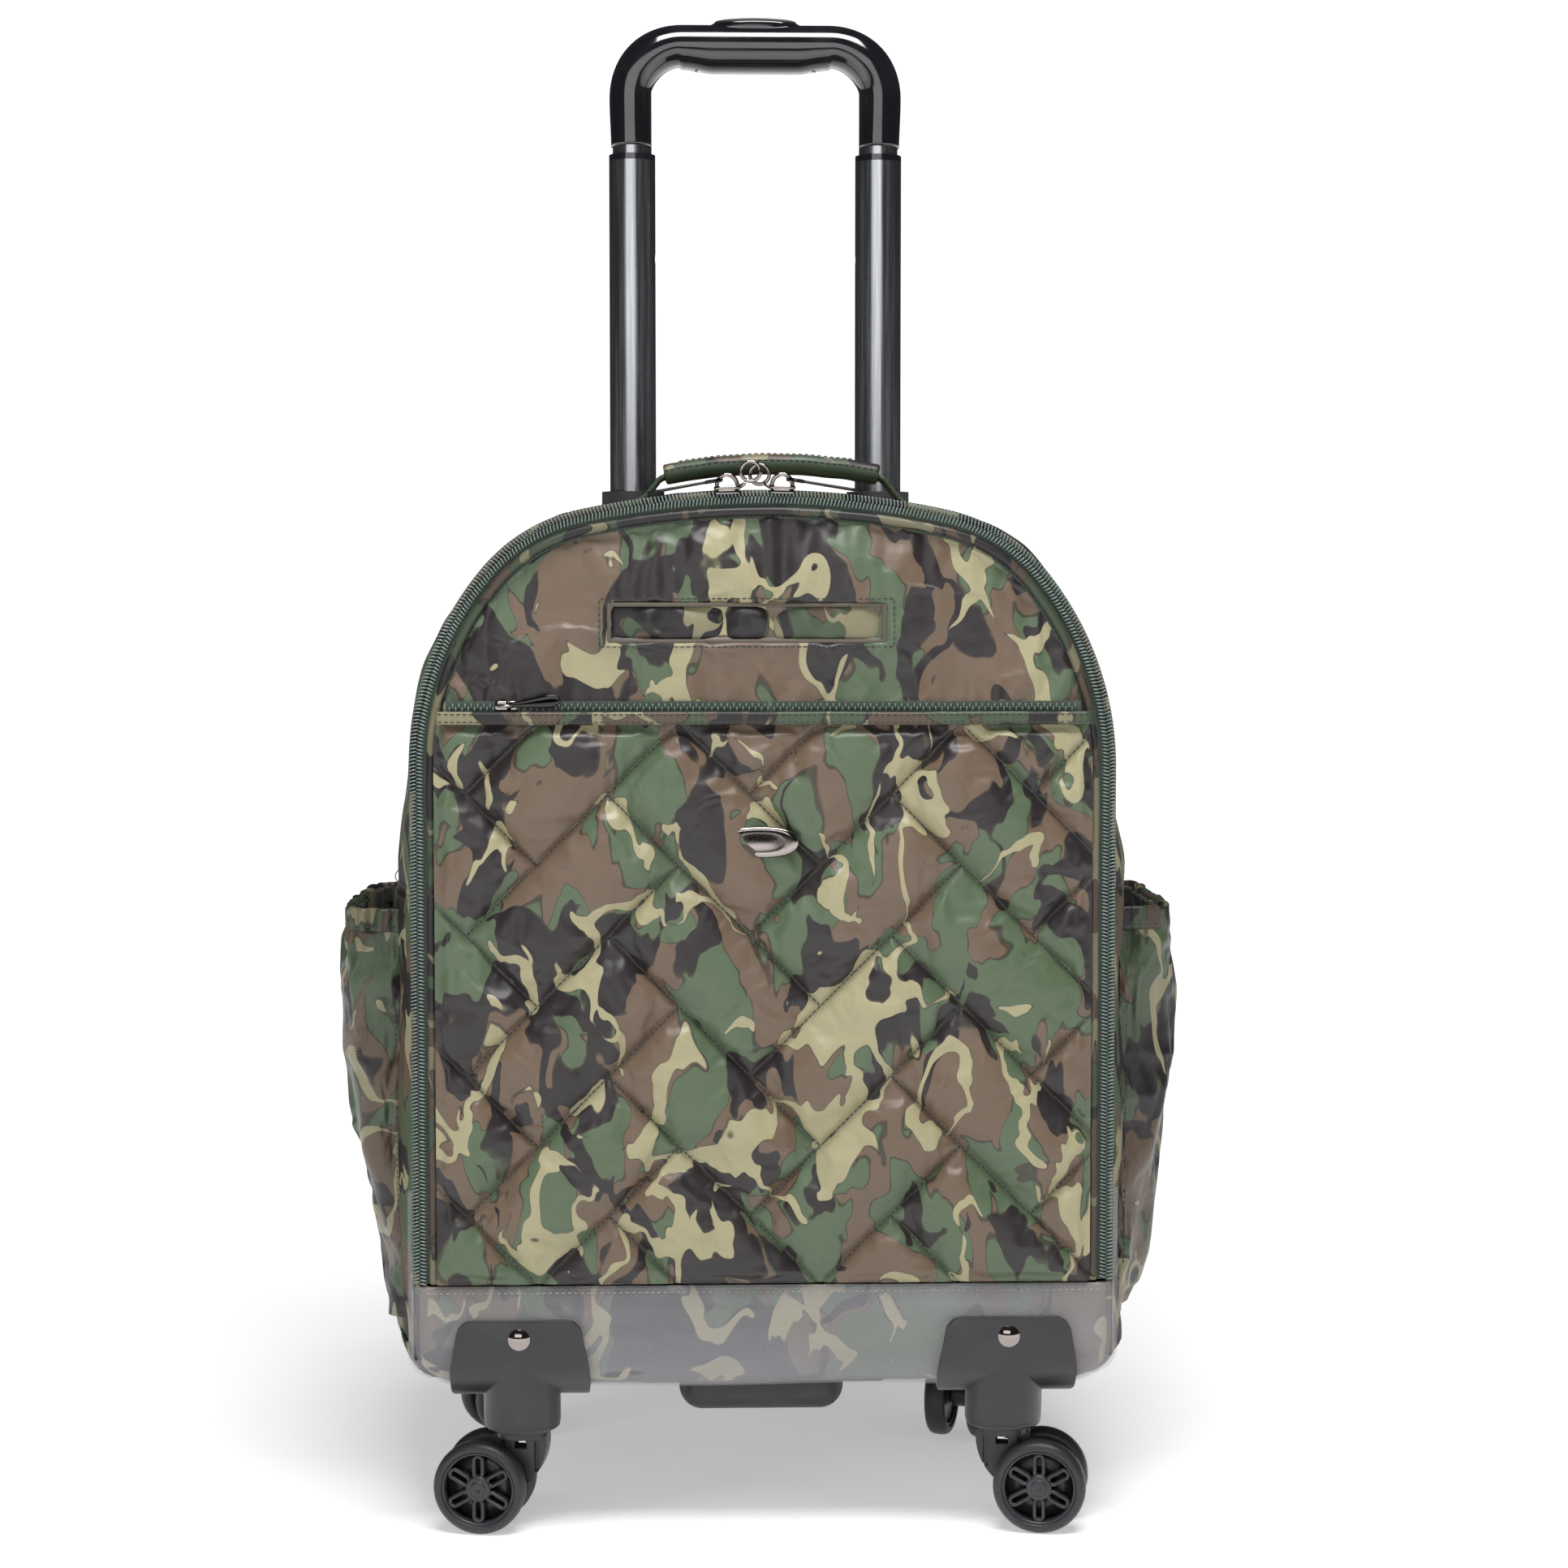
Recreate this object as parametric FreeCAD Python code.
"""Rolling cabin bag: a domed soft bag on four twin-wheel spinner casters, with a telescopic trolley handle.

Row frame: millimetres, +Z up, the floor at Z 0, the bag's front towards -Y and the viewer's right towards +X.
The origin is on the floor under the middle of the bag.
"""
import FreeCAD, Part
import math
import os

V = FreeCAD.Vector
X_AXIS, Y_AXIS, Z_AXIS = V(1, 0, 0), V(0, 1, 0), V(0, 0, 1)
ORIGIN = V(0, 0, 0)

# Bag body: a dome drawn from a crown arc, two shoulder arcs and two flank arcs.
HALF_WIDTH = 171.0      # half the width of the front face
DOME_TOP = 513.0
BAG_BOTTOM = 74.0
CROWN_R = 420.0
SHOULDER_R = 85.0
FLANK_R = 150.0
SHOULDER_TURN = math.radians(50)    # where the shoulder arc hands over to the flank arc
CORNER_R = 18.0         # lower corners
EDGE_R = 24.0           # the front wall rolls under the bag by this radius
FACE_Y = 107.0          # outer faces of the front and back panels stand at -FACE_Y and +FACE_Y
WALL = 4.0              # padded fabric
TRAY_TOP = 81.2         # moulded base inside the bag
SEAM_Z = 317.0          # seam between the dome gusset and the side panels
LOW_SEAM_Z = 100.0      # seam between the side panels and the bottom
SIDE_SWELL = ((-1.0, 0.0), (-0.44, 13.0), (0.34, 15.0), (1.0, 5.0))  # share of the depth, extra half width

# Opening front panel
HINGE_Z = 126.3         # fold line of the front panel, at the top of the sill
HINGE_Y = -110.0
LID_GAP = 0.7           # the panel starts this far above the fold
ZIP_W = 3.0             # one row of teeth
ZIP_GAP = 0.3
TAPE_EDGE = 13.0        # inset where the zip tape meets the panel
PIPING_W = 3.5
PAD_FACE_Y = -109.0     # face of the panel's padding
POCKET_FACE_Y = -115.0  # face of the quilted pocket
POCKET_TOP = 406.7
BINDING_H = 6.0

# Trolley
TUBE_X = 66.7
TUBE_Y = 85.0
OUTER_R, MIDDLE_R, INNER_R = 14.0, 12.5, 10.5
TUBE_WALL = 1.2
SLIDE_GAP = 0.3
OUTER_TOP = 515.5
OUTER_BOTTOM = 90.0
MIDDLE_BOTTOM, MIDDLE_TOP = 297.0, 697.0
COLLAR_TOP = 700.3
GRIP_BOTTOM = 705.0
GRIP_BAR_Z = 757.5
GRIP_BEND_R = 20.0
GRIP_R = 12.6
GRIP_CAVITY_R = 9.6
BUTTON_TOP = 773.2
BUTTON_HALF = (23.0, 7.0)

# Casters
CASTER_X, CASTER_Y = 119.5, 87.0
WHEEL_R = 23.0
WHEEL_T = 11.0
WHEEL_OFFSET = 11.5     # wheel centres either side of the fork
TRAIL = 19.0            # axle behind the swivel axis
TYRE_INNER_R = 17.2
AXLE_R = 2.5
KINGPIN_R = 3.0
PLATE_OUT = -26.5       # outer face of a bracket, from its swivel axis
PLATE_IN = -21.5
BARREL_R = 18.7
BARREL_BOTTOM = 51.5
FLANGE_TOP = 109.4
BOLT_Z = 101.0
SCREW_X, SCREW_STEP = 25.0, 12.0     # bracket screws from the swivel axis: sideways, and towards the bag's middle
# corner name: side of X, side of Y, heading of the trail in degrees
CASTERS = {
    "front_left": (-1, -1, 170.0),
    "front_right": (1, -1, -10.0),
    "rear_left": (-1, 1, 205.0),
    "rear_right": (1, 1, 252.5),
}

# Side pockets: height and half width of the bag over the pocket
POCKET_PROFILE = ((101.0, 190.0), (127.0, 199.0), (161.0, 205.0), (196.0, 211.0),
                  (230.0, 216.0), (265.0, 216.5), (297.0, 214.0))
POCKET_Y = (-70.0, 72.0)
POCKET_WALL = 2.5

# Grab handle
GRAB_X, GRAB_Y = 6.0, -15.0
GRAB_TOP = 534.5
GRAB_HALF = 54.0
GRAB_R = 278.0

# Zip sliders on the dome, as turns about the crown's centre
SLIDER_TURN = {"left": -2.4, "right": 1.2}

PARTS = {}


def add(name, *solids):
    """Keeps the solids of one sub-part under its node name."""
    PARTS[name] = list(solids)


def block(x0, x1, y0, y1, z0, z1):
    return Part.makeBox(x1 - x0, y1 - y0, z1 - z0, V(x0, y0, z0))


def rod(radius, start, direction, length):
    return Part.makeCylinder(radius, length, start, direction)


def ring(outer, inner, start, direction, length):
    return rod(outer, start, direction, length).cut(rod(inner, start, direction, length))


def line(a, b):
    return Part.LineSegment(a, b).toShape()


def arc(a, b, c):
    return Part.Arc(a, b, c).toShape()


def fuse(shapes):
    return shapes[0].fuse(list(shapes[1:])).removeSplitter()


def mirrored_x(shape):
    return shape.mirror(ORIGIN, X_AXIS)


# ---------------------------------------------------------------- the bag's outline

def dome_centres(swell):
    """Centres (x, z) of the flank and shoulder arcs, the crown's centre height and its half angle."""
    flank_x = HALF_WIDTH + swell - FLANK_R
    step = FLANK_R - SHOULDER_R
    reach = CROWN_R - SHOULDER_R
    shoulder_x = flank_x + step * math.sin(SHOULDER_TURN)
    crown_turn = math.asin(shoulder_x / reach)
    crown_z = DOME_TOP - CROWN_R
    shoulder_z = crown_z + reach * math.cos(crown_turn)
    flank_z = shoulder_z - step * math.cos(SHOULDER_TURN)
    return (flank_x, flank_z), (shoulder_x, shoulder_z), crown_z, crown_turn


def dome_z(x):
    """Height of the crown above a point x."""
    return DOME_TOP - CROWN_R + math.sqrt(CROWN_R ** 2 - x ** 2)


def outline(y, inset=0.0, swell=0.0, bottom=None, corner=None):
    """Closed wire of the dome at depth y, moved inwards by inset."""
    (flank_x, flank_z), (shoulder_x, shoulder_z), crown_z, crown_turn = dome_centres(swell)
    half = HALF_WIDTH + swell - inset
    low = BAG_BOTTOM + inset if bottom is None else bottom
    round_r = max(CORNER_R - inset, 2.0) if corner is None else corner

    def polar(cx, cz, radius, turn, side=1):
        return V(side * (cx + radius * math.sin(turn)), y, cz + radius * math.cos(turn))

    def flank(side):
        middle = (SHOULDER_TURN + math.pi / 2) / 2
        turns = (math.pi / 2, middle, SHOULDER_TURN)
        return [polar(flank_x, flank_z, FLANK_R - inset, t, side) for t in turns]

    def shoulder(side):
        turns = (SHOULDER_TURN, (SHOULDER_TURN + crown_turn) / 2, crown_turn)
        return [polar(shoulder_x, shoulder_z, SHOULDER_R - inset, t, side) for t in turns]

    def low_corner(side):
        cx, cz = half - round_r, low + round_r
        turns = (math.pi, 0.75 * math.pi, math.pi / 2)
        return [polar(cx, cz, round_r, t, side) for t in turns]

    crown = [polar(0, crown_z, CROWN_R - inset, t) for t in (crown_turn, 0, -crown_turn)]
    right, left = low_corner(1), low_corner(-1)
    edges = [line(left[0], right[0]), arc(*right), line(right[2], flank(1)[0]), arc(*flank(1)),
             arc(*shoulder(1)), arc(*crown), arc(*reversed(shoulder(-1))), arc(*reversed(flank(-1))),
             line(flank(-1)[0], left[2]), arc(*reversed(left))]
    return Part.Wire(edges)


def slab(y0, y1, **shape):
    """The outline as a flat plate between two depths."""
    return Part.Face(outline(y0, **shape)).extrude(V(0, y1 - y0, 0))


def arch_band(y0, y1, outer, inner, bottom):
    """A band that follows the outline up, over and down, open below."""
    whole = slab(y0, y1, inset=outer, bottom=bottom, corner=2.0)
    return whole.cut(slab(y0 - 1, y1 + 1, inset=inner, bottom=bottom - 20, corner=2.0))


GUSSET_Y = FACE_Y - WALL
ROLL_Y = -(FACE_Y - EDGE_R)     # centre line of the roll under the front edge
ROLL_Z = BAG_BOTTOM + EDGE_R


def rolled_block(offset):
    """Everything inside the bag's front, back and bottom faces, with rolled lower edges, grown by an offset."""
    reach = EDGE_R + offset
    upright = block(-300, 300, ROLL_Y - reach, reach - ROLL_Y, ROLL_Z, 700)
    flat = block(-300, 300, ROLL_Y, -ROLL_Y, ROLL_Z - reach, ROLL_Z)
    rolls = [rod(reach, V(-300, side * ROLL_Y, ROLL_Z), X_AXIS, 600) for side in (-1, 1)]
    return fuse([upright, flat] + rolls)


def rolled_sheet(outer, inner, y0, y1, z_top):
    """A sheet between two offsets from the bag's rolled faces, between two depths and below a height."""
    return rolled_block(outer).cut(rolled_block(inner)).common(block(-300, 300, y0, y1, 0, z_top))


def swollen(inset):
    """The whole bag between the panels, lofted through its sections."""
    sections = [outline(share * GUSSET_Y, inset=inset, swell=swell) for share, swell in SIDE_SWELL]
    return Part.makeLoft(sections, True)


# ---------------------------------------------------------------- fabric body

def fabric_body():
    outer = swollen(0.0)
    hollow = outer.cut(swollen(WALL))
    far = 300.0
    top = hollow.common(block(-far, far, -far, far, SEAM_Z, 600))
    for side in (-1, 1):
        top = top.cut(rod(OUTER_R + 3.4, V(side * TUBE_X, TUBE_Y, 480), Z_AXIS, 50))
    add("gusset_top", top)
    add("side_panel_left", hollow.common(block(-far, 0, -far, far, LOW_SEAM_Z, SEAM_Z)))
    add("side_panel_right", hollow.common(block(0, far, -far, far, LOW_SEAM_Z, SEAM_Z)))
    flat = block(-far, far, ROLL_Y, -ROLL_Y, 0, LOW_SEAM_Z)
    bottom = hollow.common(block(-far, far, -far, far, 0, LOW_SEAM_Z))
    bottom = bottom.common(rolled_block(-WALL).fuse(flat))
    for x, y in caster_screw_places():
        bottom = bottom.cut(rod(1.8, V(x, y, BAG_BOTTOM - 1), Z_AXIS, 8))
    add("bottom_panel", bottom)
    return outer


def panels():
    rear_swell = SIDE_SWELL[-1][1]
    sill_top = FLANGE_TOP + 2.6
    front = rolled_sheet(0.0, -WALL, -FACE_Y, ROLL_Y, HINGE_Z - 0.3).common(slab(-FACE_Y, ROLL_Y))
    rear = slab(GUSSET_Y, FACE_Y, swell=rear_swell).common(block(-300, 300, GUSSET_Y, FACE_Y, ROLL_Z, 600))
    rear_roll = rolled_sheet(0.0, -WALL, -ROLL_Y, FACE_Y, ROLL_Z).common(slab(-ROLL_Y, FACE_Y, swell=rear_swell))
    rear = fuse([rear, rear_roll])
    for side in (-1, 1):
        front = front.cut(rod(2.1, V(side * CASTER_X, -120, BOLT_Z), Y_AXIS, 30))
        rear = rear.cut(rod(2.1, V(side * CASTER_X, 90, BOLT_Z), Y_AXIS, 30))
    add("front_sill", front)
    add("back_panel", rear)
    add("back_board", slab(62, 65, inset=8.0, swell=8.0, bottom=TRAY_TOP, corner=6.0))
    piping = slab(GUSSET_Y + 0.2, FACE_Y - 0.6, inset=-PIPING_W, swell=rear_swell)
    piping = piping.cut(slab(GUSSET_Y, FACE_Y, inset=-0.05, swell=rear_swell))
    add("back_piping", piping.common(block(-300, 300, 0, 200, sill_top, 600)))


def base_and_guard():
    tray = block(-150, 150, ROLL_Y - 1, 1 - ROLL_Y, TRAY_TOP - 3, TRAY_TOP)
    for x, y in caster_screw_places():
        tray = tray.cut(rod(1.8, V(x, y, TRAY_TOP - 5), Z_AXIS, 8))
    add("base_tray", tray)
    sheet = 1.2
    guard = rolled_sheet(sheet, 0.0, -300, -70, HINGE_Z - 0.5)
    guard = guard.common(slab(-FACE_Y - sheet, -70, bottom=BAG_BOTTOM - sheet, corner=CORNER_R))
    for side in (-1, 1):
        guard = guard.cut(rod(2.1, V(side * CASTER_X, -120, BOLT_Z), Y_AXIS, 30))
    for x, y in caster_screw_places():
        guard = guard.cut(rod(1.8, V(x, y, BAG_BOTTOM - 5), Z_AXIS, 8))
    add("bottom_guard", guard)


def pocket_section(z, reach, inset):
    """Plan of a side pocket at height z: square to the bag, rounded outside."""
    radius = 16.0 - inset
    x0, x1 = 160.0, reach - inset
    y0, y1 = POCKET_Y[0] + inset, POCKET_Y[1] - inset
    bend = radius * (1 - math.sqrt(0.5))
    edges = [line(V(x0, y0, z), V(x1 - radius, y0, z)),
             arc(V(x1 - radius, y0, z), V(x1 - bend, y0 + bend, z), V(x1, y0 + radius, z)),
             line(V(x1, y0 + radius, z), V(x1, y1 - radius, z)),
             arc(V(x1, y1 - radius, z), V(x1 - bend, y1 - bend, z), V(x1 - radius, y1, z)),
             line(V(x1 - radius, y1, z), V(x0, y1, z)),
             line(V(x0, y1, z), V(x0, y0, z))]
    return Part.Wire(edges)


def side_pockets(body):
    outer = Part.makeLoft([pocket_section(z, x, 0.0) for z, x in POCKET_PROFILE], True)
    inner_profile = ((POCKET_PROFILE[0][0] + 5, POCKET_PROFILE[0][1] + 1),) + POCKET_PROFILE[1:]
    inner_profile += ((POCKET_PROFILE[-1][0] + 5, POCKET_PROFILE[-1][1] - 1),)
    inner = Part.makeLoft([pocket_section(z, x, POCKET_WALL) for z, x in inner_profile], True)
    pocket = outer.cut(inner).cut(body)
    top_z, top_x = POCKET_PROFILE[-1]
    hem_h = 8.0
    hem = Part.Face(pocket_section(top_z, top_x, 0.5)).extrude(V(0, 0, hem_h))
    hem = hem.cut(Part.Face(pocket_section(top_z - 1, top_x, 4.5)).extrude(V(0, 0, hem_h + 2)))
    hem = hem.cut(body)
    add("side_pocket_right", pocket)
    add("side_pocket_left", mirrored_x(pocket))
    add("pocket_elastics", hem, mirrored_x(hem))


def grab_handle():
    """Padded sleeve on an arc, and the webbing legs that carry it."""
    thick, half_w = 5.0, 12.0
    centre_z = GRAB_TOP - thick - GRAB_R
    half_turn = math.degrees(math.asin(GRAB_HALF / GRAB_R))
    corner = 4.0
    y0, y1 = GRAB_Y - half_w, GRAB_Y + half_w
    low, high = GRAB_TOP - 2 * thick, GRAB_TOP
    bend = corner * (1 - math.sqrt(0.5))

    def at(y, z):
        return V(GRAB_X, y, z)

    edges = [line(at(y0 + corner, low), at(y1 - corner, low)),
             arc(at(y1 - corner, low), at(y1 - bend, low + bend), at(y1, low + corner)),
             line(at(y1, low + corner), at(y1, high - corner)),
             arc(at(y1, high - corner), at(y1 - bend, high - bend), at(y1 - corner, high)),
             line(at(y1 - corner, high), at(y0 + corner, high)),
             arc(at(y0 + corner, high), at(y0 + bend, high - bend), at(y0, high - corner)),
             line(at(y0, high - corner), at(y0, low + corner)),
             arc(at(y0, low + corner), at(y0 + bend, low + bend), at(y0 + corner, low))]
    section = Part.Face(Part.Wire(edges))
    pivot = V(GRAB_X, 0, centre_z)
    section.rotate(pivot, Y_AXIS, -half_turn)
    sleeve = section.revolve(pivot, Y_AXIS, 2 * half_turn)
    add("grab_handle_sleeve", sleeve)
    legs = []
    for side in (-1, 1):
        def skin(reach, lift):
            x = GRAB_X + side * reach
            return V(x, y0 + 1, dome_z(x) + lift)
        end_z = centre_z + GRAB_R * math.cos(math.radians(half_turn))
        points = [V(GRAB_X + side * 54.6, y0 + 1, end_z + 1.2), V(GRAB_X + side * 57, y0 + 1, end_z + 1.2),
                  skin(67, 2.4), skin(86, 2.4), skin(86, 0.4), skin(65, 0.4),
                  V(GRAB_X + side * 54.6, y0 + 1, end_z - 1.2)]
        face = Part.Face(Part.makePolygon(points + points[:1]))
        legs.append(face.extrude(V(0, 2 * half_w - 2, 0)))
    add("grab_handle_straps", *legs)


def bottom_handle():
    """Moulded cup under the bag, open towards the back for the fingers."""
    plate = block(-62, 62, -56, 12, 64, BAG_BOTTOM - 0.1)
    plate = plate.makeFillet(3.0, [e for e in plate.Edges if abs(e.tangentAt(e.FirstParameter).z) > 0.9])
    cup = block(-42, 42, -50, -6, 46, 65)
    low_edges = [e for e in cup.Edges if e.BoundBox.ZMin < 47]
    round_edges = [e for e in low_edges if e.BoundBox.YMax < -20 or abs(e.tangentAt(e.FirstParameter).y) > 0.9]
    cup = cup.makeFillet(12.0, round_edges)
    cavity = block(-37, 37, -45, 0, 50, 64)
    add("bottom_handle", fuse([plate, cup]).cut(cavity))


# ---------------------------------------------------------------- opening front panel

def zip_chains():
    low = HINGE_Z + LID_GAP
    teeth_y = (-106.4, -103.8)
    body_teeth = arch_band(*teeth_y, 0.0, ZIP_W, low)
    body_tape = arch_band(teeth_y[1], -GUSSET_Y, 0.0, ZIP_W, low)
    add("body_zip_chain", body_teeth, body_tape)
    lid_edge = ZIP_W + ZIP_GAP
    lid_teeth = arch_band(-106.4, -103.4, lid_edge, lid_edge + ZIP_W, low)
    lid_tape = arch_band(-104.4, -103.4, lid_edge + ZIP_W, TAPE_EDGE, low)
    add("lid_zip_chain", lid_teeth, lid_tape)


SLOT_X, SLOT_HALF, SLOT_Z = -6.0, 67.0, (440.0, 458.0)


def front_lid():
    low = HINGE_Z + LID_GAP
    step_y = -104.4
    backing = slab(step_y, -101, inset=TAPE_EDGE, bottom=low, corner=2.0)
    pad = slab(PAD_FACE_Y, step_y, inset=TAPE_EDGE + PIPING_W + 0.2, bottom=low, corner=2.0)
    panel = fuse([backing, pad])
    slot = block(SLOT_X - SLOT_HALF, SLOT_X + SLOT_HALF, PAD_FACE_Y - 1, PAD_FACE_Y + 3, *SLOT_Z)
    add("front_panel", panel.cut(slot))
    add("lid_piping", arch_band(-108.4, step_y - 0.1, TAPE_EDGE + 0.1, TAPE_EDGE + PIPING_W, low))
    pocket = slab(POCKET_FACE_Y, PAD_FACE_Y - 0.05, inset=TAPE_EDGE + PIPING_W + 0.7, bottom=low, corner=2.0)
    add("front_pocket", pocket.common(block(-300, 300, -200, 0, 0, POCKET_TOP - BINDING_H)))
    binding = pocket.common(block(-300, 300, -200, 0, POCKET_TOP - BINDING_H, POCKET_TOP))
    add("pocket_binding", binding)
    chain_z = POCKET_TOP + 0.3
    half = HALF_WIDTH - TAPE_EDGE - PIPING_W - 7
    add("pocket_zip_chain", block(-half, half, -111.5, PAD_FACE_Y - 0.05, chain_z, chain_z + 3.6))
    badge_x, badge_z = -2.4, 344.0
    long_r, short_r = 19.0, 7.5
    bar = block(badge_x - long_r + short_r, badge_x + long_r - short_r,
                POCKET_FACE_Y - 2.4, POCKET_FACE_Y - 0.05, badge_z - short_r, badge_z + short_r)
    ends = [rod(short_r, V(badge_x + s * (long_r - short_r), POCKET_FACE_Y - 2.4, badge_z), Y_AXIS, 2.35)
            for s in (-1, 1)]
    add("badge", fuse([bar] + ends))


def leaf(length, root_w, tip_w, thick):
    """A flat pull from the origin along +X, widening to a round tip, its width along Y."""
    tip_r = tip_w / 2
    end = length - tip_r
    edges = [line(V(0, -root_w / 2, 0), V(end, -tip_r, 0)),
             arc(V(end, -tip_r, 0), V(length, 0, 0), V(end, tip_r, 0)),
             line(V(end, tip_r, 0), V(0, root_w / 2, 0)),
             line(V(0, root_w / 2, 0), V(0, -root_w / 2, 0))]
    plate = Part.Face(Part.Wire(edges)).extrude(V(0, 0, thick))
    plate.translate(V(0, 0, -thick / 2))
    return plate


LOOP_Y = (-106.5, -103.5)
PIN_AT = V(3.0, 0, 518.5)   # hinge of a pull, on a slider drawn at the top of the dome with its pull to +X


def main_sliders():
    crown = V(0, 0, DOME_TOP - CROWN_R)
    plate_z = DOME_TOP + 0.5
    for side, name in ((-1, "left"), (1, "right")):
        plate = block(-6, 6, -109.6, -100.8, plate_z, plate_z + 1.5)
        lip = block(-5, 5, -108.6, -106.9, DOME_TOP - 2.8, plate_z + 0.5)
        loop = block(-6, 6, *LOOP_Y, plate_z + 1, plate_z + 8.6)
        loop = loop.cut(block(-4, 4, LOOP_Y[0] - 1, LOOP_Y[1] + 1, plate_z + 3, plate_z + 7))
        ring_y = LOOP_Y[0] + 0.1 if side < 0 else LOOP_Y[1] - 0.1
        eye = Part.makeTorus(4.2, 0.8, V(-10.0, ring_y, plate_z + 6), Y_AXIS)
        body = fuse([plate, lip, loop, eye])
        tilt = 8.0
        blade = leaf(30, 4.5, 7.0, 1.4)
        blade.translate(V(5.4, 0, 0))
        arms = [block(-1.2, 6.5, y, y + 1.2, -1.2, 1.2) for y in (-3.3, 2.1)]
        pin = rod(0.8, V(0, -3.2, 0), Y_AXIS, 6.4)
        cross = block(5.4, 6.6, -3.3, 3.3, -0.7, 0.7)
        pull = fuse([blade, cross, pin] + arms)
        pull.rotate(ORIGIN, Y_AXIS, tilt)
        pull.translate(V(PIN_AT.x, sum(LOOP_Y) / 2, PIN_AT.z))
        for shape, node in ((body, "slider_"), (pull, "pull_")):
            placed = mirrored_x(shape) if side < 0 else shape.copy()
            placed.rotate(crown, Y_AXIS, SLIDER_TURN[name])
            add(node + name, placed)


POCKET_SLIDER_X = -124.0


def pocket_slider():
    z0 = POCKET_TOP + 0.3
    y1 = -111.7
    plate = block(-5, 5, y1 - 1.3, y1, z0, z0 + 5)
    loop = block(-4, 4, y1 - 5, y1 - 1.2, z0 + 1.9, z0 + 3.4)
    loop = loop.cut(block(-2.6, 2.6, y1 - 3.6, y1 - 1.2, z0, z0 + 5))
    body = fuse([plate, loop])
    body.translate(V(POCKET_SLIDER_X, 0, 0))
    add("pocket_slider", body)
    blade = leaf(22, 3.0, 6.0, 1.4)
    blade.rotate(ORIGIN, X_AXIS, 90)
    blade.translate(V(4.0, 0, 0))
    arms = [block(-1.0, 4.6, -0.7, 0.7, z, z + 0.9) for z in (-2.2, 1.3)]
    pin = rod(0.7, V(0, 0, -2.1), Z_AXIS, 4.2)
    cross = block(3.8, 4.8, -0.7, 0.7, -2.2, 2.2)
    pull = fuse([blade, cross, pin] + arms)
    pull.rotate(ORIGIN, Y_AXIS, -6.0)
    pull.translate(V(POCKET_SLIDER_X + 1.3, y1 - 2.6, z0 + 2.7))
    add("pocket_pull", pull)


# ---------------------------------------------------------------- trolley handle

def tube(radius, z0, z1):
    return ring(radius, radius - TUBE_WALL, V(TUBE_X, TUBE_Y, z0), Z_AXIS, z1 - z0)


def pair(shape):
    return shape, mirrored_x(shape)


def trolley_fixed():
    add("outer_tubes", *pair(tube(OUTER_R, OUTER_BOTTOM, OUTER_TOP)))
    foot = block(-86, 86, 69, 101, TRAY_TOP, 104)
    foot = foot.makeFillet(6.0, [e for e in foot.Edges if abs(e.tangentAt(e.FirstParameter).z) > 0.9])
    foot = foot.common(rolled_block(-WALL - 0.1))
    arch = slab(67, 101.5, inset=-4.6).cut(slab(66, 103, inset=-0.6)).common(block(-92, 92, 60, 110, 480, 600))
    collar_top = 519.0
    collars = [rod(17.0, V(s * TUBE_X, TUBE_Y, 505), Z_AXIS, collar_top - 505) for s in (-1, 1)]
    bezel = fuse([arch] + collars)
    for s in (-1, 1):
        axis = V(s * TUBE_X, TUBE_Y, OUTER_BOTTOM)
        foot = foot.cut(rod(OUTER_R + 0.05, axis, Z_AXIS, 20))
        bezel = bezel.cut(rod(OUTER_R + 0.1, axis, Z_AXIS, OUTER_TOP + 0.1 - OUTER_BOTTOM))
        bezel = bezel.cut(rod(MIDDLE_R + SLIDE_GAP, axis, Z_AXIS, 500))
    add("trolley_foot", foot)
    add("trolley_bezel", bezel)


def trolley_middle():
    middle = tube(MIDDLE_R, MIDDLE_BOTTOM, MIDDLE_TOP)
    for z in (325.0, 645.0):
        middle = middle.cut(rod(2.6, V(TUBE_X - MIDDLE_R - 2, TUBE_Y, z), X_AXIS, 6))
    add("middle_tubes", *pair(middle))
    bore = INNER_R + 0.25
    flange = ring(MIDDLE_R, bore, V(TUBE_X, TUBE_Y, MIDDLE_TOP), Z_AXIS, COLLAR_TOP - MIDDLE_TOP)
    skirt_r = MIDDLE_R - TUBE_WALL - 0.03
    skirt = ring(skirt_r, bore, V(TUBE_X, TUBE_Y, MIDDLE_TOP - 20), Z_AXIS, 20)
    add("middle_collars", *pair(fuse([flange, skirt])))


def grip_bar(radius):
    """The bent bar of the grip as a solid of this radius, from leg to leg."""
    leg_z = GRIP_BAR_Z - GRIP_BEND_R
    reach = TUBE_X - GRIP_BEND_R
    section = Part.Face(Part.Wire(Part.makeCircle(radius, V(TUBE_X, TUBE_Y, leg_z), Z_AXIS)))
    bend = section.revolve(V(reach, TUBE_Y, leg_z), Y_AXIS, -90)
    return fuse([bend, rod(radius, V(-reach, TUBE_Y, GRIP_BAR_Z), X_AXIS, 2 * reach), mirrored_x(bend)])


def grip_screw_places():
    return [(s * 30.0, GRIP_BAR_Z - GRIP_R) for s in (-1, 1)]


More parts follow.
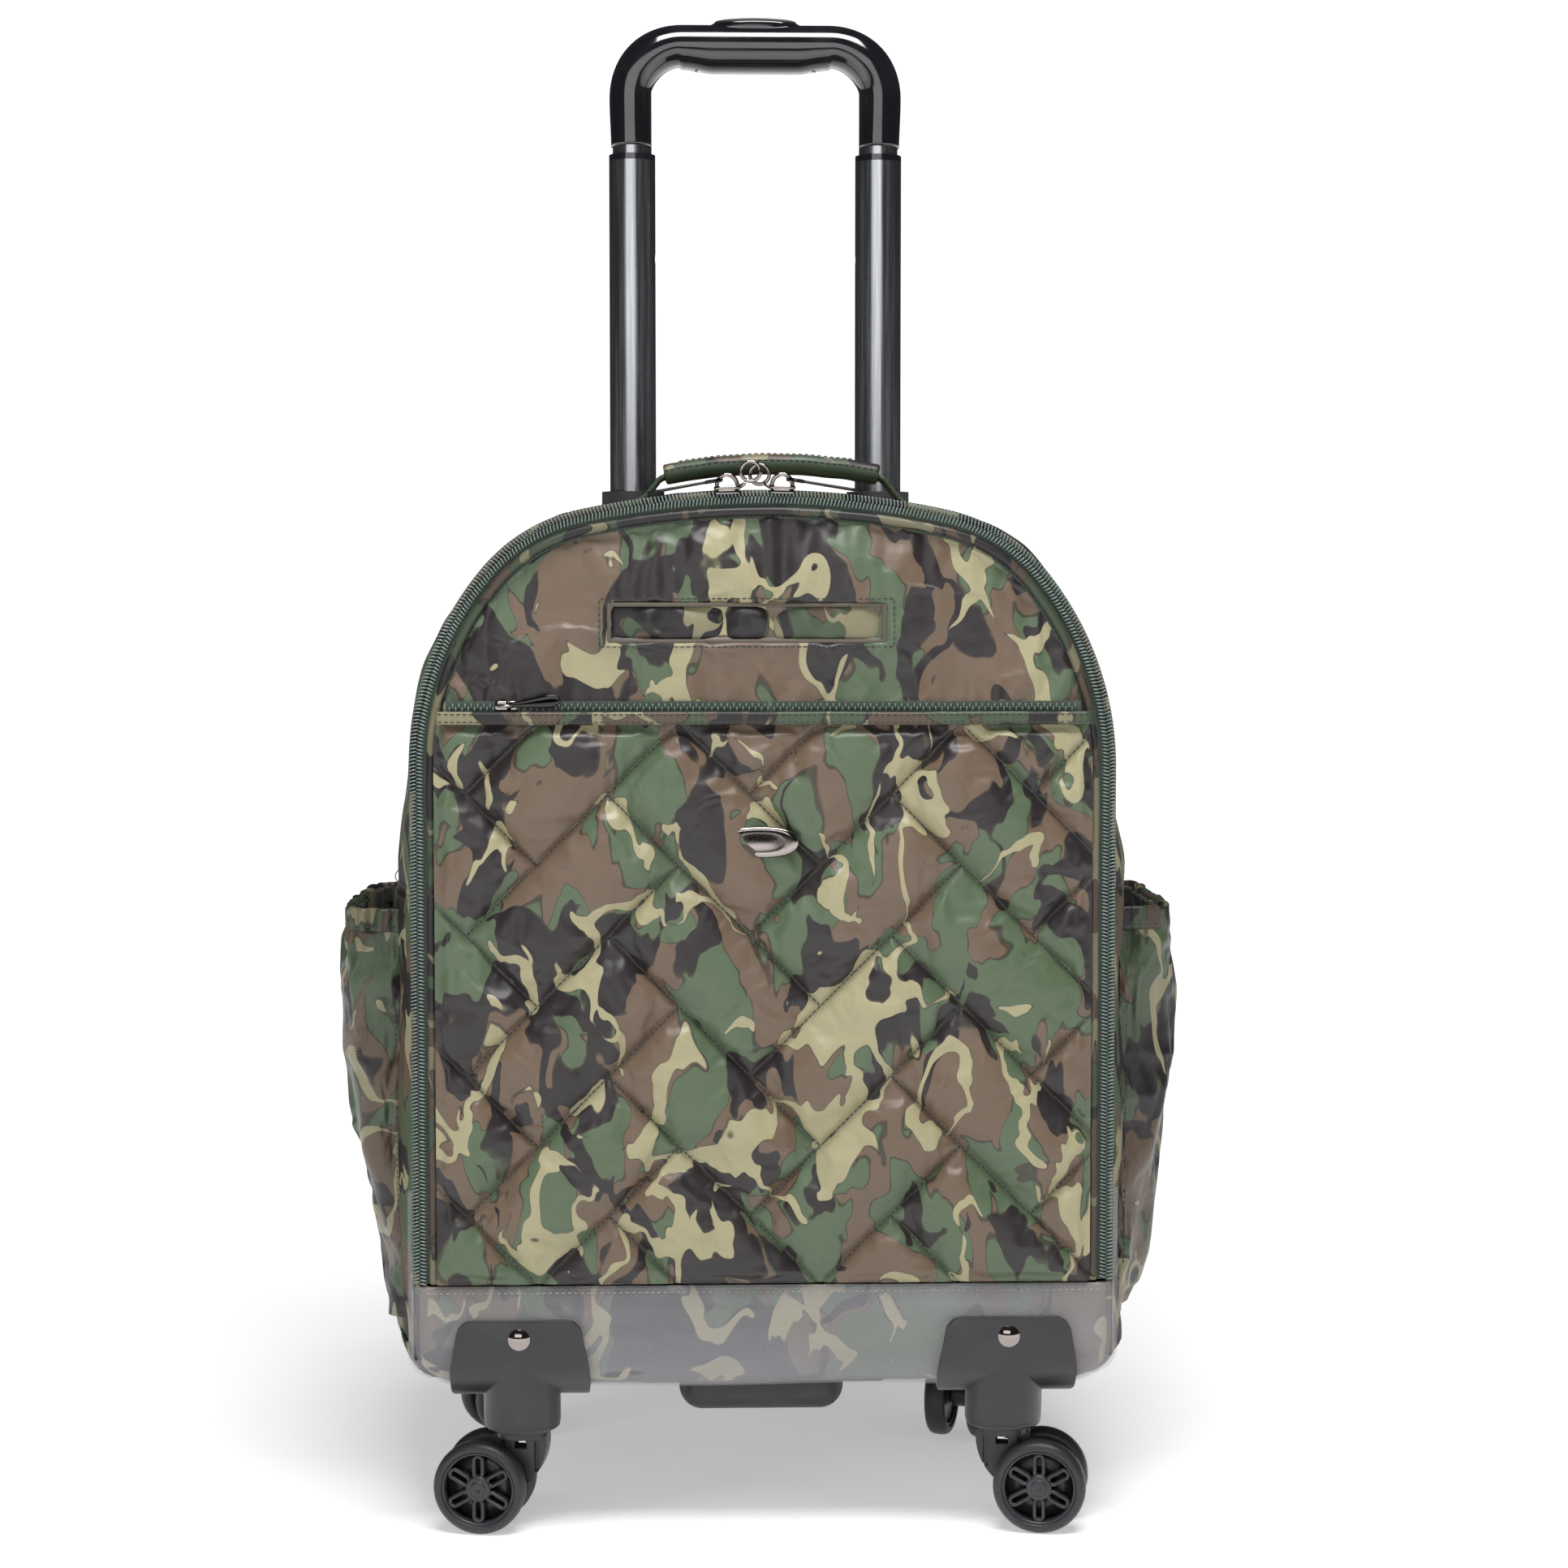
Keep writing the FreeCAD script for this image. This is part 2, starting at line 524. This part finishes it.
def trolley_grip():
    add("inner_tubes", *pair(ring(INNER_R, INNER_R - 1.0, V(TUBE_X, TUBE_Y, 312), Z_AXIS, 736 - 312)))
    leg_z = GRIP_BAR_Z - GRIP_BEND_R
    legs = [Part.makeCone(11.4, GRIP_R, leg_z - GRIP_BOTTOM, V(s * TUBE_X, TUBE_Y, GRIP_BOTTOM), Z_AXIS)
            for s in (-1, 1)]
    shell = fuse([grip_bar(GRIP_R)] + legs).cut(grip_bar(GRIP_CAVITY_R))
    for s in (-1, 1):
        shell = shell.cut(rod(INNER_R + 0.05, V(s * TUBE_X, TUBE_Y, GRIP_BOTTOM - 1), Z_AXIS, 32.1))
        shell = shell.cut(rod(GRIP_CAVITY_R, V(s * TUBE_X, TUBE_Y, GRIP_BOTTOM), Z_AXIS, leg_z - GRIP_BOTTOM + 0.5))
    split_z, split_x = 752.5, 41.0
    insert = shell.common(block(-split_x, split_x, 60, 110, 740, split_z))
    shell = shell.cut(block(-split_x - 0.1, split_x + 0.1, 60, 110, 740, split_z + 0.1))
    screws = []
    for x, z in grip_screw_places():
        insert = insert.cut(rod(1.6, V(x, TUBE_Y, z - 1), Z_AXIS, 6))
        insert = insert.cut(rod(2.8, V(x, TUBE_Y, z - 1), Z_AXIS, 2.4))
        seat = V(x, TUBE_Y, z + 0.3)
        screws.append(fuse([rod(2.7, seat, Z_AXIS, 1.0), rod(1.5, seat, Z_AXIS, 3.6)]))
    long_half, short_half = BUTTON_HALF
    shell = shell.cut(pill(long_half + 0.4, short_half + 0.4, 758, 790))
    add("grip_shell", shell)
    add("grip_insert", insert)
    add("grip_screws", *screws)
    button = fuse([pill(long_half, short_half, 765, BUTTON_TOP), block(-6, 6, TUBE_Y - 3, TUBE_Y + 3, 755, 766)])
    crown_edges = [e for e in button.Edges if e.BoundBox.ZMin > BUTTON_TOP - 0.01]
    add("grip_button", button.makeFillet(1.6, crown_edges))
    yoke = block(-TUBE_X, TUBE_X, TUBE_Y - 2.5, TUBE_Y + 2.5, 752, 755)
    rods = [rod(1.6, V(s * TUBE_X, TUBE_Y, 330), Z_AXIS, 425) for s in (-1, 1)]
    add("release_rods", fuse([yoke] + rods))


def pill(half_long, half_short, z0, z1):
    """A plate with round ends over the grip's bar."""
    straight = half_long - half_short
    middle = block(-straight, straight, TUBE_Y - half_short, TUBE_Y + half_short, z0, z1)
    ends = [rod(half_short, V(s * straight, TUBE_Y, z0), Z_AXIS, z1 - z0) for s in (-1, 1)]
    return fuse([middle] + ends)


# ---------------------------------------------------------------- casters

def caster_screw_places():
    """Plan positions of the screws that hold each bracket to the base tray."""
    places = []
    for side_x, side_y, _ in CASTERS.values():
        for step in (-SCREW_X, SCREW_X):
            places.append((side_x * (CASTER_X + step), side_y * (CASTER_Y - SCREW_STEP)))
    return places


def bracket():
    """Corner bracket about its swivel axis, its face plate towards -Y, with a cowl over the barrel."""
    roll_y, roll_z = ROLL_Y + CASTER_Y, ROLL_Z
    outer_r, inner_r = roll_y - PLATE_OUT, roll_y - PLATE_IN
    under_top, under_bottom = roll_z - inner_r, roll_z - outer_r

    def rolled(radius):
        upright = block(-60, 60, roll_y - radius, roll_y, roll_z, FLANGE_TOP)
        flat = block(-60, 60, roll_y, 22, roll_z - radius, roll_z)
        return fuse([upright, flat, rod(radius, V(-60, roll_y, roll_z), X_AXIS, 120)])

    bag_space = fuse([rolled(inner_r), block(-60, 60, roll_y, 60, under_top, 130),
                      block(-60, 60, PLATE_IN, roll_y + 1, roll_z, 130)])
    band = rolled(outer_r).cut(bag_space)
    low_w, top_w = 34.0, 29.5
    points = [V(-low_w, -50, 66), V(low_w, -50, 66), V(low_w, -50, 84), V(top_w, -50, FLANGE_TOP + 0.5),
              V(-top_w, -50, FLANGE_TOP + 0.5), V(-low_w, -50, 84), V(-low_w, -50, 66)]
    face = Part.Face(Part.makePolygon(points)).extrude(V(0, 80, 0))
    top_corners = [e for e in face.Edges if e.BoundBox.ZMin > FLANGE_TOP - 1 and e.BoundBox.YLength > 50]
    face = face.makeFillet(8.0, top_corners)
    low_corners = [e for e in face.Edges if e.BoundBox.ZMax < 67 and e.BoundBox.YLength > 50]
    face = face.makeFillet(7.0, low_corners)
    body = band.common(face)
    barrel = rod(BARREL_R, V(0, 0, BARREL_BOTTOM), Z_AXIS, 20)
    low_rim = [e for e in barrel.Edges if e.BoundBox.ZMax < BARREL_BOTTOM + 0.1]
    barrel = barrel.makeFillet(1.5, low_rim)
    lean = math.radians(8.5)
    cowl = rod(BARREL_R + 0.3, V(0, 0.4, 52), V(0, -math.sin(lean), math.cos(lean)), 60)
    cowl = cowl.common(block(-40, 40, PLATE_OUT + 0.5, 10, BARREL_BOTTOM + 3, 90))
    body = fuse([body, barrel, cowl]).cut(bag_space)
    body = body.cut(rod(KINGPIN_R + 0.02, V(0, 0, 40), Z_AXIS, 50))
    body = body.cut(rod(2.1, V(0, -50, BOLT_Z), Y_AXIS, 50))
    for x in (-SCREW_X, SCREW_X):
        body = body.cut(rod(1.8, V(x, SCREW_STEP, 60), Z_AXIS, 30))
    return body


def kingpin():
    head = rod(5.2, V(0, 0, 44.2), Z_AXIS, 2.8)
    return fuse([head, rod(KINGPIN_R, V(0, 0, 44.2), Z_AXIS, 28)])


def fork():
    """Fork about its swivel axis, the axle towards +X, with its riveted axle."""
    hub_bottom, hub_top = 47.2, 51.2
    hub_r = 13.0
    hub = rod(hub_r, V(0, 0, hub_bottom), Z_AXIS, hub_top - hub_bottom)
    boss_r, axle_z = 7.0, WHEEL_R
    edges = [arc(V(-hub_r, -5, hub_bottom + 1), V(-7.5, -5, 28), V(10, -5, 17.0)),
             line(V(10, -5, 17.0), V(TRAIL, -5, axle_z - boss_r)),
             arc(V(TRAIL, -5, axle_z - boss_r), V(TRAIL + boss_r, -5, axle_z), V(TRAIL, -5, axle_z + boss_r)),
             line(V(TRAIL, -5, axle_z + boss_r), V(hub_r, -5, hub_bottom + 1)),
             line(V(hub_r, -5, hub_bottom + 1), V(-hub_r, -5, hub_bottom + 1))]
    web = Part.Face(Part.Wire(edges)).extrude(V(0, 10, 0))
    body = fuse([hub, web])
    for x0, x1 in ((-9.5, -7.0), (7.5, 10.5)):
        for y0 in (-6, 3):
            body = body.cut(block(x0, x1, y0, y0 + 3, 30, 45))
    body = body.cut(rod(5.8, V(0, 0, 41), Z_AXIS, hub_bottom + 0.1 - 41))
    body = body.cut(rod(KINGPIN_R + 0.06, V(0, 0, 40), Z_AXIS, 20))
    axle_half = WHEEL_OFFSET + WHEEL_T / 2 - 1.4
    axle = rod(AXLE_R, V(TRAIL, -axle_half, axle_z), Y_AXIS, 2 * axle_half)
    return [body.cut(rod(AXLE_R, V(TRAIL, -10, axle_z), Y_AXIS, 20)), axle]


def wheel():
    """Wheel about its own centre, spinning about Y, its outer side towards -Y: rim and tyre."""
    half = WHEEL_T / 2
    tyre = ring(WHEEL_R, TYRE_INNER_R, V(0, -half, 0), Y_AXIS, WHEEL_T)
    shoulder_edges = [e for e in tyre.Edges if abs(e.BoundBox.ZMax - WHEEL_R) < 0.01 and e.BoundBox.YLength < 0.1]
    tyre = tyre.makeFillet(2.4, shoulder_edges)
    rim_half = half - 0.5
    felloe = ring(TYRE_INNER_R, 15.4, V(0, -rim_half, 0), Y_AXIS, 2 * rim_half)
    web = ring(15.6, 4.0, V(0, -0.5, 0), Y_AXIS, 2.0)
    hub = rod(5.0, V(0, -half + 0.3, 0), Y_AXIS, WHEEL_T - 0.4)
    spokes = []
    for k in range(6):
        spoke = block(-3, 3, -half + 1.2, 0, 3.0, 13.0).fuse(rod(3.0, V(0, -half + 1.2, 13.0), Y_AXIS, half - 1.2))
        spoke = spoke.cut(block(-1.1, 1.1, -half, 0.5, 7.2, 13.0))
        spoke.rotate(ORIGIN, Y_AXIS, 60 * k + 8)
        spokes.append(spoke)
    rim = fuse([felloe, web, hub] + spokes)
    rim = rim.cut(rod(AXLE_R + 0.08, V(0, -half + 1.2, 0), Y_AXIS, WHEEL_T))
    return [rim, tyre]


def place(shape, x, y, heading):
    placed = shape.copy()
    placed.rotate(ORIGIN, Z_AXIS, heading)
    placed.translate(V(x, y, 0))
    return placed


def casters():
    corner = bracket()
    fork_solids = fork()
    wheel_solids = wheel()
    pins, bolts, screws = [], [], []
    for name, (side_x, side_y, heading) in CASTERS.items():
        x, y = side_x * CASTER_X, side_y * CASTER_Y
        face_turn = 0 if side_y < 0 else 180
        add(f"caster_bracket_{name}", place(corner, x, y, face_turn))
        add(f"caster_fork_{name}", *[place(s, x, y, heading) for s in fork_solids])
        pins.append(place(kingpin(), x, y, 0))
        for label, side in (("a", -1), ("b", 1)):
            solids = []
            for s in wheel_solids:
                turned = s.copy()
                if side > 0:
                    turned.rotate(ORIGIN, Z_AXIS, 180)
                turned.translate(V(TRAIL, side * WHEEL_OFFSET, WHEEL_R))
                solids.append(place(turned, x, y, heading))
            add(f"caster_wheel_{name}_{label}", *solids)
        bolts.append(place(flange_bolt(), x, y, face_turn))
        bolts.append(place(flange_nut(), x, y, face_turn))
    for x, y in caster_screw_places():
        head = rod(3.2, V(x, y, TRAY_TOP), Z_AXIS, 1.8)
        screws.append(head.fuse(rod(1.7, V(x, y, 70), Z_AXIS, TRAY_TOP - 69)))
    add("kingpins", *pins)
    add("bracket_bolts", *bolts)
    add("caster_screws", *screws)


def flange_bolt():
    """Domed bolt through a bracket's face plate, about the swivel axis."""
    head_y = PLATE_OUT
    dome_r, head_r = 8.0, 5.3
    ball = Part.makeSphere(dome_r, V(0, head_y - 2.2 + dome_r, BOLT_Z))
    head = ball.common(rod(head_r, V(0, head_y - 3, BOLT_Z), Y_AXIS, 3))
    return fuse([head, rod(2.0, V(0, head_y - 0.5, BOLT_Z), Y_AXIS, 15)])


def flange_nut():
    corner_r = 4.2
    nut_y = CASTER_Y - GUSSET_Y + 0.05
    points = [V(corner_r * math.cos(math.radians(60 * k)), nut_y, BOLT_Z + corner_r * math.sin(math.radians(60 * k)))
              for k in range(7)]
    nut = Part.Face(Part.makePolygon(points)).extrude(V(0, 3.2, 0))
    return nut.cut(rod(2.02, V(0, nut_y - 1, BOLT_Z), Y_AXIS, 6))


def main():
    body = fabric_body()
    panels()
    base_and_guard()
    side_pockets(body)
    grab_handle()
    bottom_handle()
    zip_chains()
    front_lid()
    main_sliders()
    pocket_slider()
    trolley_fixed()
    trolley_middle()
    trolley_grip()
    casters()
    os.makedirs("parts", exist_ok=True)
    for name, shapes in PARTS.items():
        solids = [s for shape in shapes for s in shape.Solids]
        bad = [s for s in solids if not s.isValid() or s.Volume <= 0]
        Part.makeCompound(solids).exportStep(f"parts/{name}.step")
        print(name, len(solids), "solids", "INVALID" if bad else "", round(sum(s.Volume for s in solids) / 1000, 2))
    print(len(PARTS), "nodes")


main()
